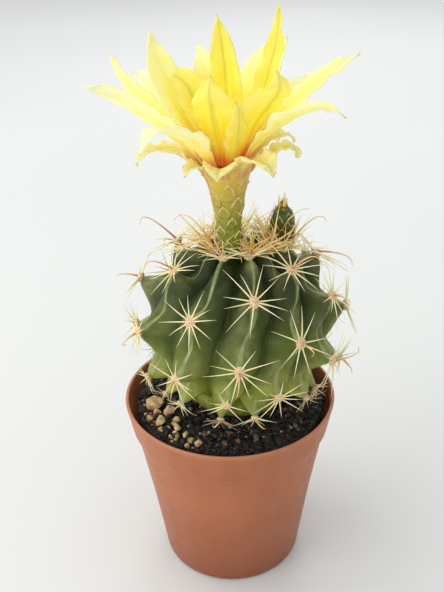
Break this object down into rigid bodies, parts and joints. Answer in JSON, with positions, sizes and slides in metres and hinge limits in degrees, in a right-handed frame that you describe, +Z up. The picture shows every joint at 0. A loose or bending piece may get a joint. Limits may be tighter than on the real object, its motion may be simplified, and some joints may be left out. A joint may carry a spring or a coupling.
{
  "type": "potted round cactus",
  "caption": "Small round ribbed cactus with starry pale spines, one open yellow flower and a bud, in a thin tapered nursery pot full of dark soil.",
  "frame": {"origin": "centre of the pot's underside", "axes": "+Z up the plant; the side with the front rib faces -Y, and +X is to the right when facing it"},
  "size_m": [0.0709, 0.072, 0.1492],
  "materials": {
    "pot_plastic": "thin moulded plastic, terracotta coloured, satin",
    "potting_mix": "loose dark damp potting mix, matt",
    "grit": "rough tan grit, matt",
    "skin": "waxy green plant skin with a grey bloom, satin",
    "spine": "pale dry plant spine, satin",
    "tube": "fleshy yellow-green flower tube, satin",
    "sepal": "thin yellow sepal, soft",
    "petal": "thin yellow petal, soft, lets light through",
    "pollen": "powdery yellow",
    "bud": "scaly dark green bud, satin"
  },
  "bodies": {
    "root": {"pot": "pot_plastic", "soil": "potting_mix", "stone_1": "grit", "stone_2": "grit", "stone_3": "grit", "stone_4": "grit", "stone_5": "grit", "stem": "skin", "spines_rib01_upper": "spine", "spines_rib01_waist": "spine", "spines_rib02_upper": "spine", "spines_rib02_waist": "spine", "spines_rib03_upper": "spine", "spines_rib03_waist": "spine", "spines_rib04_upper": "spine", "spines_rib04_waist": "spine", "spines_rib05_upper": "spine", "spines_rib05_waist": "spine", "spines_rib06_upper": "spine", "spines_rib06_waist": "spine", "spines_rib07_upper": "spine", "spines_rib07_waist": "spine", "spines_rib08_upper": "spine", "spines_rib08_waist": "spine", "spines_rib09_upper": "spine", "spines_rib09_waist": "spine", "spines_rib10_upper": "spine", "spines_rib10_waist": "spine", "spines_rib11_upper": "spine", "spines_rib11_waist": "spine", "flower_tube": "tube", "stamens": "pollen", "style": "pollen", "flower_bud": "bud", "petal_inner_1": "petal", "petal_inner_2": "petal", "petal_inner_3": "petal", "petal_inner_4": "petal", "petal_inner_5": "petal", "petal_inner_6": "petal", "petal_middle_1": "petal", "petal_middle_2": "petal", "petal_middle_3": "petal", "petal_middle_4": "petal", "petal_middle_5": "petal", "petal_middle_6": "petal", "petal_outer_1": "petal", "petal_outer_2": "petal", "petal_outer_3": "petal", "petal_outer_4": "petal", "petal_outer_5": "petal", "sepal_1": "sepal", "sepal_2": "sepal", "sepal_3": "sepal", "sepal_4": "sepal", "sepal_5": "sepal", "sepal_6": "sepal", "sepal_7": "sepal", "sepal_8": "sepal", "sepal_9": "sepal"}
  },
  "joints": []
}
